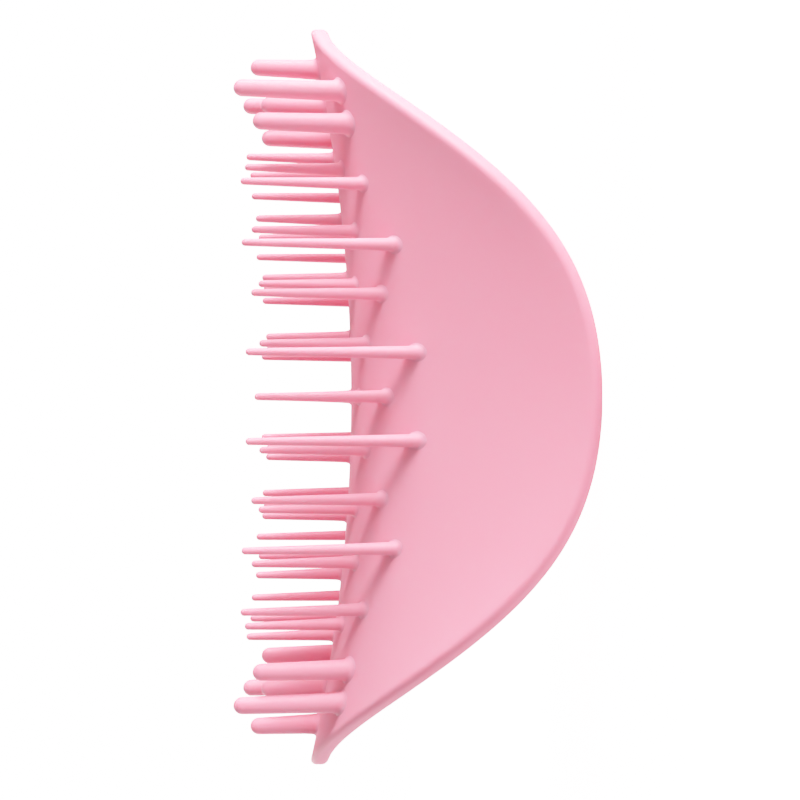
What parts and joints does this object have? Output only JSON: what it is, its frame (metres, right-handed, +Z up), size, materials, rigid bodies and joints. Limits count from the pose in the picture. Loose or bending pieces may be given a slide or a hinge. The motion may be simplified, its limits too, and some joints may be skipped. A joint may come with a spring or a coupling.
{
  "type": "scalp massager brush",
  "caption": "Palm-held scalp massager: a thin saddle-shaped grip with pointed ends, arcs of slim flexible teeth over its back and thick blunt teeth at both ends.",
  "frame": {"origin": "on the resting plane, under the middle of the brush", "axes": "+X along the brush, tip to tip; +Y across it, from wing to wing; +Z up, the way the teeth point"},
  "size_m": [0.092, 0.054, 0.043],
  "materials": {
    "grip_shell": "satin moulded elastomer, slightly translucent",
    "scrub_teeth": "satin moulded elastomer, slightly translucent",
    "massage_teeth": "satin moulded elastomer, slightly translucent"
  },
  "bodies": {
    "grip": {"grip_shell": "grip_shell"},
    "massage_tooth_front_heel_body": {"massage_tooth_front_heel": "massage_teeth"},
    "massage_tooth_front_long_left_body": {"massage_tooth_front_long_left": "massage_teeth"},
    "massage_tooth_front_long_right_body": {"massage_tooth_front_long_right": "massage_teeth"},
    "massage_tooth_front_short_left_body": {"massage_tooth_front_short_left": "massage_teeth"},
    "massage_tooth_front_short_right_body": {"massage_tooth_front_short_right": "massage_teeth"},
    "massage_tooth_front_toe_body": {"massage_tooth_front_toe": "massage_teeth"},
    "massage_tooth_rear_heel_body": {"massage_tooth_rear_heel": "massage_teeth"},
    "massage_tooth_rear_long_left_body": {"massage_tooth_rear_long_left": "massage_teeth"},
    "massage_tooth_rear_long_right_body": {"massage_tooth_rear_long_right": "massage_teeth"},
    "massage_tooth_rear_short_left_body": {"massage_tooth_rear_short_left": "massage_teeth"},
    "massage_tooth_rear_short_right_body": {"massage_tooth_rear_short_right": "massage_teeth"},
    "massage_tooth_rear_toe_body": {"massage_tooth_rear_toe": "massage_teeth"},
    "scrub_tooth_front_1_centre_body": {"scrub_tooth_front_1_centre": "scrub_teeth"},
    "scrub_tooth_front_1_inner_left_body": {"scrub_tooth_front_1_inner_left": "scrub_teeth"},
    "scrub_tooth_front_1_inner_right_body": {"scrub_tooth_front_1_inner_right": "scrub_teeth"},
    "scrub_tooth_front_1_outer_left_body": {"scrub_tooth_front_1_outer_left": "scrub_teeth"},
    "scrub_tooth_front_1_outer_right_body": {"scrub_tooth_front_1_outer_right": "scrub_teeth"},
    "scrub_tooth_front_2_centre_body": {"scrub_tooth_front_2_centre": "scrub_teeth"},
    "scrub_tooth_front_2_inner_left_body": {"scrub_tooth_front_2_inner_left": "scrub_teeth"},
    "scrub_tooth_front_2_inner_right_body": {"scrub_tooth_front_2_inner_right": "scrub_teeth"},
    "scrub_tooth_front_2_outer_left_body": {"scrub_tooth_front_2_outer_left": "scrub_teeth"},
    "scrub_tooth_front_2_outer_right_body": {"scrub_tooth_front_2_outer_right": "scrub_teeth"},
    "scrub_tooth_front_3_centre_body": {"scrub_tooth_front_3_centre": "scrub_teeth"},
    "scrub_tooth_front_3_inner_left_body": {"scrub_tooth_front_3_inner_left": "scrub_teeth"},
    "scrub_tooth_front_3_inner_right_body": {"scrub_tooth_front_3_inner_right": "scrub_teeth"},
    "scrub_tooth_front_3_outer_left_body": {"scrub_tooth_front_3_outer_left": "scrub_teeth"},
    "scrub_tooth_front_3_outer_right_body": {"scrub_tooth_front_3_outer_right": "scrub_teeth"},
    "scrub_tooth_front_4_centre_body": {"scrub_tooth_front_4_centre": "scrub_teeth"},
    "scrub_tooth_front_4_inner_left_body": {"scrub_tooth_front_4_inner_left": "scrub_teeth"},
    "scrub_tooth_front_4_inner_right_body": {"scrub_tooth_front_4_inner_right": "scrub_teeth"},
    "scrub_tooth_front_4_outer_left_body": {"scrub_tooth_front_4_outer_left": "scrub_teeth"},
    "scrub_tooth_front_4_outer_right_body": {"scrub_tooth_front_4_outer_right": "scrub_teeth"},
    "scrub_tooth_middle_centre_body": {"scrub_tooth_middle_centre": "scrub_teeth"},
    "scrub_tooth_middle_inner_left_body": {"scrub_tooth_middle_inner_left": "scrub_teeth"},
    "scrub_tooth_middle_inner_right_body": {"scrub_tooth_middle_inner_right": "scrub_teeth"},
    "scrub_tooth_middle_outer_left_body": {"scrub_tooth_middle_outer_left": "scrub_teeth"},
    "scrub_tooth_middle_outer_right_body": {"scrub_tooth_middle_outer_right": "scrub_teeth"},
    "scrub_tooth_rear_1_centre_body": {"scrub_tooth_rear_1_centre": "scrub_teeth"},
    "scrub_tooth_rear_1_inner_left_body": {"scrub_tooth_rear_1_inner_left": "scrub_teeth"},
    "scrub_tooth_rear_1_inner_right_body": {"scrub_tooth_rear_1_inner_right": "scrub_teeth"},
    "scrub_tooth_rear_1_outer_left_body": {"scrub_tooth_rear_1_outer_left": "scrub_teeth"},
    "scrub_tooth_rear_1_outer_right_body": {"scrub_tooth_rear_1_outer_right": "scrub_teeth"},
    "scrub_tooth_rear_2_centre_body": {"scrub_tooth_rear_2_centre": "scrub_teeth"},
    "scrub_tooth_rear_2_inner_left_body": {"scrub_tooth_rear_2_inner_left": "scrub_teeth"},
    "scrub_tooth_rear_2_inner_right_body": {"scrub_tooth_rear_2_inner_right": "scrub_teeth"},
    "scrub_tooth_rear_2_outer_left_body": {"scrub_tooth_rear_2_outer_left": "scrub_teeth"},
    "scrub_tooth_rear_2_outer_right_body": {"scrub_tooth_rear_2_outer_right": "scrub_teeth"},
    "scrub_tooth_rear_3_centre_body": {"scrub_tooth_rear_3_centre": "scrub_teeth"},
    "scrub_tooth_rear_3_inner_left_body": {"scrub_tooth_rear_3_inner_left": "scrub_teeth"},
    "scrub_tooth_rear_3_inner_right_body": {"scrub_tooth_rear_3_inner_right": "scrub_teeth"},
    "scrub_tooth_rear_3_outer_left_body": {"scrub_tooth_rear_3_outer_left": "scrub_teeth"},
    "scrub_tooth_rear_3_outer_right_body": {"scrub_tooth_rear_3_outer_right": "scrub_teeth"},
    "scrub_tooth_rear_4_centre_body": {"scrub_tooth_rear_4_centre": "scrub_teeth"},
    "scrub_tooth_rear_4_inner_left_body": {"scrub_tooth_rear_4_inner_left": "scrub_teeth"},
    "scrub_tooth_rear_4_inner_right_body": {"scrub_tooth_rear_4_inner_right": "scrub_teeth"},
    "scrub_tooth_rear_4_outer_left_body": {"scrub_tooth_rear_4_outer_left": "scrub_teeth"},
    "scrub_tooth_rear_4_outer_right_body": {"scrub_tooth_rear_4_outer_right": "scrub_teeth"}
  },
  "joints": [
    {"name": "massage_tooth_front_heel_flex", "type": "hinge", "parent": "grip", "child": "massage_tooth_front_heel_body", "pos_m": [0.03628, 0, 0.0338], "axis": [0, 1, 0], "range_deg": [-8, 8], "stiffness_Nm_per_rad": 0.01},
    {"name": "massage_tooth_front_long_left_flex", "type": "hinge", "parent": "grip", "child": "massage_tooth_front_long_left_body", "pos_m": [0.03713, 0.008, 0.03203], "axis": [0, 1, 0], "range_deg": [-8, 8], "stiffness_Nm_per_rad": 0.01},
    {"name": "massage_tooth_front_long_right_flex", "type": "hinge", "parent": "grip", "child": "massage_tooth_front_long_right_body", "pos_m": [0.03713, -0.008, 0.03203], "axis": [0, 1, 0], "range_deg": [-8, 8], "stiffness_Nm_per_rad": 0.01},
    {"name": "massage_tooth_front_short_left_flex", "type": "hinge", "parent": "grip", "child": "massage_tooth_front_short_left_body", "pos_m": [0.03311, 0.0084, 0.03109], "axis": [0, 1, 0], "range_deg": [-8, 8], "stiffness_Nm_per_rad": 0.01},
    {"name": "massage_tooth_front_short_right_flex", "type": "hinge", "parent": "grip", "child": "massage_tooth_front_short_right_body", "pos_m": [0.03311, -0.0084, 0.03109], "axis": [0, 1, 0], "range_deg": [-8, 8], "stiffness_Nm_per_rad": 0.01},
    {"name": "massage_tooth_front_toe_flex", "type": "hinge", "parent": "grip", "child": "massage_tooth_front_toe_body", "pos_m": [0.04093, 0, 0.03469], "axis": [0, 1, 0], "range_deg": [-8, 8], "stiffness_Nm_per_rad": 0.01},
    {"name": "massage_tooth_rear_heel_flex", "type": "hinge", "parent": "grip", "child": "massage_tooth_rear_heel_body", "pos_m": [-0.03628, 0, 0.0338], "axis": [0, 1, 0], "range_deg": [-8, 8], "stiffness_Nm_per_rad": 0.01},
    {"name": "massage_tooth_rear_long_left_flex", "type": "hinge", "parent": "grip", "child": "massage_tooth_rear_long_left_body", "pos_m": [-0.03713, 0.008, 0.03203], "axis": [0, 1, 0], "range_deg": [-8, 8], "stiffness_Nm_per_rad": 0.01},
    {"name": "massage_tooth_rear_long_right_flex", "type": "hinge", "parent": "grip", "child": "massage_tooth_rear_long_right_body", "pos_m": [-0.03713, -0.008, 0.03203], "axis": [0, 1, 0], "range_deg": [-8, 8], "stiffness_Nm_per_rad": 0.01},
    {"name": "massage_tooth_rear_short_left_flex", "type": "hinge", "parent": "grip", "child": "massage_tooth_rear_short_left_body", "pos_m": [-0.03311, 0.0084, 0.03109], "axis": [0, 1, 0], "range_deg": [-8, 8], "stiffness_Nm_per_rad": 0.01},
    {"name": "massage_tooth_rear_short_right_flex", "type": "hinge", "parent": "grip", "child": "massage_tooth_rear_short_right_body", "pos_m": [-0.03311, -0.0084, 0.03109], "axis": [0, 1, 0], "range_deg": [-8, 8], "stiffness_Nm_per_rad": 0.01},
    {"name": "massage_tooth_rear_toe_flex", "type": "hinge", "parent": "grip", "child": "massage_tooth_rear_toe_body", "pos_m": [-0.04093, 0, 0.03469], "axis": [0, 1, 0], "range_deg": [-8, 8], "stiffness_Nm_per_rad": 0.01},
    {"name": "scrub_tooth_front_1_centre_flex", "type": "hinge", "parent": "grip", "child": "scrub_tooth_front_1_centre_body", "pos_m": [0.00744, 0, 0.03022], "axis": [0, 1, 0], "range_deg": [-20, 20], "stiffness_Nm_per_rad": 0.002},
    {"name": "scrub_tooth_front_1_inner_left_flex", "type": "hinge", "parent": "grip", "child": "scrub_tooth_front_1_inner_left_body", "pos_m": [0.00644, 0.0073, 0.02831], "axis": [0, 1, 0], "range_deg": [-20, 20], "stiffness_Nm_per_rad": 0.002},
    {"name": "scrub_tooth_front_1_inner_right_flex", "type": "hinge", "parent": "grip", "child": "scrub_tooth_front_1_inner_right_body", "pos_m": [0.00644, -0.0073, 0.02831], "axis": [0, 1, 0], "range_deg": [-20, 20], "stiffness_Nm_per_rad": 0.002},
    {"name": "scrub_tooth_front_1_outer_left_flex", "type": "hinge", "parent": "grip", "child": "scrub_tooth_front_1_outer_left_body", "pos_m": [0.00522, 0.0145, 0.02268], "axis": [0, 1, 0], "range_deg": [-20, 20], "stiffness_Nm_per_rad": 0.002},
    {"name": "scrub_tooth_front_1_outer_right_flex", "type": "hinge", "parent": "grip", "child": "scrub_tooth_front_1_outer_right_body", "pos_m": [0.00522, -0.0145, 0.02268], "axis": [0, 1, 0], "range_deg": [-20, 20], "stiffness_Nm_per_rad": 0.002},
    {"name": "scrub_tooth_front_2_centre_flex", "type": "hinge", "parent": "grip", "child": "scrub_tooth_front_2_centre_body", "pos_m": [0.01478, 0, 0.03062], "axis": [0, 1, 0], "range_deg": [-20, 20], "stiffness_Nm_per_rad": 0.002},
    {"name": "scrub_tooth_front_2_inner_left_flex", "type": "hinge", "parent": "grip", "child": "scrub_tooth_front_2_inner_left_body", "pos_m": [0.01372, 0.0052, 0.0296], "axis": [0, 1, 0], "range_deg": [-20, 20], "stiffness_Nm_per_rad": 0.002},
    {"name": "scrub_tooth_front_2_inner_right_flex", "type": "hinge", "parent": "grip", "child": "scrub_tooth_front_2_inner_right_body", "pos_m": [0.01372, -0.0052, 0.0296], "axis": [0, 1, 0], "range_deg": [-20, 20], "stiffness_Nm_per_rad": 0.002},
    {"name": "scrub_tooth_front_2_outer_left_flex", "type": "hinge", "parent": "grip", "child": "scrub_tooth_front_2_outer_left_body", "pos_m": [0.01235, 0.0105, 0.02662], "axis": [0, 1, 0], "range_deg": [-20, 20], "stiffness_Nm_per_rad": 0.002},
    {"name": "scrub_tooth_front_2_outer_right_flex", "type": "hinge", "parent": "grip", "child": "scrub_tooth_front_2_outer_right_body", "pos_m": [0.01235, -0.0105, 0.02662], "axis": [0, 1, 0], "range_deg": [-20, 20], "stiffness_Nm_per_rad": 0.002},
    {"name": "scrub_tooth_front_3_centre_flex", "type": "hinge", "parent": "grip", "child": "scrub_tooth_front_3_centre_body", "pos_m": [0.02212, 0, 0.03129], "axis": [0, 1, 0], "range_deg": [-20, 20], "stiffness_Nm_per_rad": 0.002},
    {"name": "scrub_tooth_front_3_inner_left_flex", "type": "hinge", "parent": "grip", "child": "scrub_tooth_front_3_inner_left_body", "pos_m": [0.0202, 0.0065, 0.02964], "axis": [0, 1, 0], "range_deg": [-20, 20], "stiffness_Nm_per_rad": 0.002},
    {"name": "scrub_tooth_front_3_inner_right_flex", "type": "hinge", "parent": "grip", "child": "scrub_tooth_front_3_inner_right_body", "pos_m": [0.0202, -0.0065, 0.02964], "axis": [0, 1, 0], "range_deg": [-20, 20], "stiffness_Nm_per_rad": 0.002},
    {"name": "scrub_tooth_front_3_outer_left_flex", "type": "hinge", "parent": "grip", "child": "scrub_tooth_front_3_outer_left_body", "pos_m": [0.0181, 0.013, 0.02516], "axis": [0, 1, 0], "range_deg": [-20, 20], "stiffness_Nm_per_rad": 0.002},
    {"name": "scrub_tooth_front_3_outer_right_flex", "type": "hinge", "parent": "grip", "child": "scrub_tooth_front_3_outer_right_body", "pos_m": [0.0181, -0.013, 0.02516], "axis": [0, 1, 0], "range_deg": [-20, 20], "stiffness_Nm_per_rad": 0.002},
    {"name": "scrub_tooth_front_4_centre_flex", "type": "hinge", "parent": "grip", "child": "scrub_tooth_front_4_centre_body", "pos_m": [0.02975, 0, 0.03226], "axis": [0, 1, 0], "range_deg": [-20, 20], "stiffness_Nm_per_rad": 0.002},
    {"name": "scrub_tooth_front_4_inner_left_flex", "type": "hinge", "parent": "grip", "child": "scrub_tooth_front_4_inner_left_body", "pos_m": [0.02794, 0.00475, 0.03124], "axis": [0, 1, 0], "range_deg": [-20, 20], "stiffness_Nm_per_rad": 0.002},
    {"name": "scrub_tooth_front_4_inner_right_flex", "type": "hinge", "parent": "grip", "child": "scrub_tooth_front_4_inner_right_body", "pos_m": [0.02794, -0.00475, 0.03124], "axis": [0, 1, 0], "range_deg": [-20, 20], "stiffness_Nm_per_rad": 0.002},
    {"name": "scrub_tooth_front_4_outer_left_flex", "type": "hinge", "parent": "grip", "child": "scrub_tooth_front_4_outer_left_body", "pos_m": [0.02571, 0.0095, 0.02874], "axis": [0, 1, 0], "range_deg": [-20, 20], "stiffness_Nm_per_rad": 0.002},
    {"name": "scrub_tooth_front_4_outer_right_flex", "type": "hinge", "parent": "grip", "child": "scrub_tooth_front_4_outer_right_body", "pos_m": [0.02571, -0.0095, 0.02874], "axis": [0, 1, 0], "range_deg": [-20, 20], "stiffness_Nm_per_rad": 0.002},
    {"name": "scrub_tooth_middle_centre_flex", "type": "hinge", "parent": "grip", "child": "scrub_tooth_middle_centre_body", "pos_m": [0, 0, 0.03008], "axis": [0, 1, 0], "range_deg": [-20, 20], "stiffness_Nm_per_rad": 0.002},
    {"name": "scrub_tooth_middle_inner_left_flex", "type": "hinge", "parent": "grip", "child": "scrub_tooth_middle_inner_left_body", "pos_m": [0, 0.0052, 0.02913], "axis": [0, 1, 0], "range_deg": [-20, 20], "stiffness_Nm_per_rad": 0.002},
    {"name": "scrub_tooth_middle_inner_right_flex", "type": "hinge", "parent": "grip", "child": "scrub_tooth_middle_inner_right_body", "pos_m": [0, -0.0052, 0.02913], "axis": [0, 1, 0], "range_deg": [-20, 20], "stiffness_Nm_per_rad": 0.002},
    {"name": "scrub_tooth_middle_outer_left_flex", "type": "hinge", "parent": "grip", "child": "scrub_tooth_middle_outer_left_body", "pos_m": [0, 0.0107, 0.02602], "axis": [0, 1, 0], "range_deg": [-20, 20], "stiffness_Nm_per_rad": 0.002},
    {"name": "scrub_tooth_middle_outer_right_flex", "type": "hinge", "parent": "grip", "child": "scrub_tooth_middle_outer_right_body", "pos_m": [0, -0.0107, 0.02602], "axis": [0, 1, 0], "range_deg": [-20, 20], "stiffness_Nm_per_rad": 0.002},
    {"name": "scrub_tooth_rear_1_centre_flex", "type": "hinge", "parent": "grip", "child": "scrub_tooth_rear_1_centre_body", "pos_m": [-0.00744, 0, 0.03022], "axis": [0, 1, 0], "range_deg": [-20, 20], "stiffness_Nm_per_rad": 0.002},
    {"name": "scrub_tooth_rear_1_inner_left_flex", "type": "hinge", "parent": "grip", "child": "scrub_tooth_rear_1_inner_left_body", "pos_m": [-0.00644, 0.0073, 0.02831], "axis": [0, 1, 0], "range_deg": [-20, 20], "stiffness_Nm_per_rad": 0.002},
    {"name": "scrub_tooth_rear_1_inner_right_flex", "type": "hinge", "parent": "grip", "child": "scrub_tooth_rear_1_inner_right_body", "pos_m": [-0.00644, -0.0073, 0.02831], "axis": [0, 1, 0], "range_deg": [-20, 20], "stiffness_Nm_per_rad": 0.002},
    {"name": "scrub_tooth_rear_1_outer_left_flex", "type": "hinge", "parent": "grip", "child": "scrub_tooth_rear_1_outer_left_body", "pos_m": [-0.00522, 0.0145, 0.02268], "axis": [0, 1, 0], "range_deg": [-20, 20], "stiffness_Nm_per_rad": 0.002},
    {"name": "scrub_tooth_rear_1_outer_right_flex", "type": "hinge", "parent": "grip", "child": "scrub_tooth_rear_1_outer_right_body", "pos_m": [-0.00522, -0.0145, 0.02268], "axis": [0, 1, 0], "range_deg": [-20, 20], "stiffness_Nm_per_rad": 0.002},
    {"name": "scrub_tooth_rear_2_centre_flex", "type": "hinge", "parent": "grip", "child": "scrub_tooth_rear_2_centre_body", "pos_m": [-0.01478, 0, 0.03062], "axis": [0, 1, 0], "range_deg": [-20, 20], "stiffness_Nm_per_rad": 0.002},
    {"name": "scrub_tooth_rear_2_inner_left_flex", "type": "hinge", "parent": "grip", "child": "scrub_tooth_rear_2_inner_left_body", "pos_m": [-0.01372, 0.0052, 0.0296], "axis": [0, 1, 0], "range_deg": [-20, 20], "stiffness_Nm_per_rad": 0.002},
    {"name": "scrub_tooth_rear_2_inner_right_flex", "type": "hinge", "parent": "grip", "child": "scrub_tooth_rear_2_inner_right_body", "pos_m": [-0.01372, -0.0052, 0.0296], "axis": [0, 1, 0], "range_deg": [-20, 20], "stiffness_Nm_per_rad": 0.002},
    {"name": "scrub_tooth_rear_2_outer_left_flex", "type": "hinge", "parent": "grip", "child": "scrub_tooth_rear_2_outer_left_body", "pos_m": [-0.01235, 0.0105, 0.02662], "axis": [0, 1, 0], "range_deg": [-20, 20], "stiffness_Nm_per_rad": 0.002},
    {"name": "scrub_tooth_rear_2_outer_right_flex", "type": "hinge", "parent": "grip", "child": "scrub_tooth_rear_2_outer_right_body", "pos_m": [-0.01235, -0.0105, 0.02662], "axis": [0, 1, 0], "range_deg": [-20, 20], "stiffness_Nm_per_rad": 0.002},
    {"name": "scrub_tooth_rear_3_centre_flex", "type": "hinge", "parent": "grip", "child": "scrub_tooth_rear_3_centre_body", "pos_m": [-0.02212, 0, 0.03129], "axis": [0, 1, 0], "range_deg": [-20, 20], "stiffness_Nm_per_rad": 0.002},
    {"name": "scrub_tooth_rear_3_inner_left_flex", "type": "hinge", "parent": "grip", "child": "scrub_tooth_rear_3_inner_left_body", "pos_m": [-0.0202, 0.0065, 0.02964], "axis": [0, 1, 0], "range_deg": [-20, 20], "stiffness_Nm_per_rad": 0.002},
    {"name": "scrub_tooth_rear_3_inner_right_flex", "type": "hinge", "parent": "grip", "child": "scrub_tooth_rear_3_inner_right_body", "pos_m": [-0.0202, -0.0065, 0.02964], "axis": [0, 1, 0], "range_deg": [-20, 20], "stiffness_Nm_per_rad": 0.002},
    {"name": "scrub_tooth_rear_3_outer_left_flex", "type": "hinge", "parent": "grip", "child": "scrub_tooth_rear_3_outer_left_body", "pos_m": [-0.0181, 0.013, 0.02516], "axis": [0, 1, 0], "range_deg": [-20, 20], "stiffness_Nm_per_rad": 0.002},
    {"name": "scrub_tooth_rear_3_outer_right_flex", "type": "hinge", "parent": "grip", "child": "scrub_tooth_rear_3_outer_right_body", "pos_m": [-0.0181, -0.013, 0.02516], "axis": [0, 1, 0], "range_deg": [-20, 20], "stiffness_Nm_per_rad": 0.002},
    {"name": "scrub_tooth_rear_4_centre_flex", "type": "hinge", "parent": "grip", "child": "scrub_tooth_rear_4_centre_body", "pos_m": [-0.02975, 0, 0.03226], "axis": [0, 1, 0], "range_deg": [-20, 20], "stiffness_Nm_per_rad": 0.002},
    {"name": "scrub_tooth_rear_4_inner_left_flex", "type": "hinge", "parent": "grip", "child": "scrub_tooth_rear_4_inner_left_body", "pos_m": [-0.02794, 0.00475, 0.03124], "axis": [0, 1, 0], "range_deg": [-20, 20], "stiffness_Nm_per_rad": 0.002},
    {"name": "scrub_tooth_rear_4_inner_right_flex", "type": "hinge", "parent": "grip", "child": "scrub_tooth_rear_4_inner_right_body", "pos_m": [-0.02794, -0.00475, 0.03124], "axis": [0, 1, 0], "range_deg": [-20, 20], "stiffness_Nm_per_rad": 0.002},
    {"name": "scrub_tooth_rear_4_outer_left_flex", "type": "hinge", "parent": "grip", "child": "scrub_tooth_rear_4_outer_left_body", "pos_m": [-0.02571, 0.0095, 0.02874], "axis": [0, 1, 0], "range_deg": [-20, 20], "stiffness_Nm_per_rad": 0.002},
    {"name": "scrub_tooth_rear_4_outer_right_flex", "type": "hinge", "parent": "grip", "child": "scrub_tooth_rear_4_outer_right_body", "pos_m": [-0.02571, -0.0095, 0.02874], "axis": [0, 1, 0], "range_deg": [-20, 20], "stiffness_Nm_per_rad": 0.002}
  ]
}
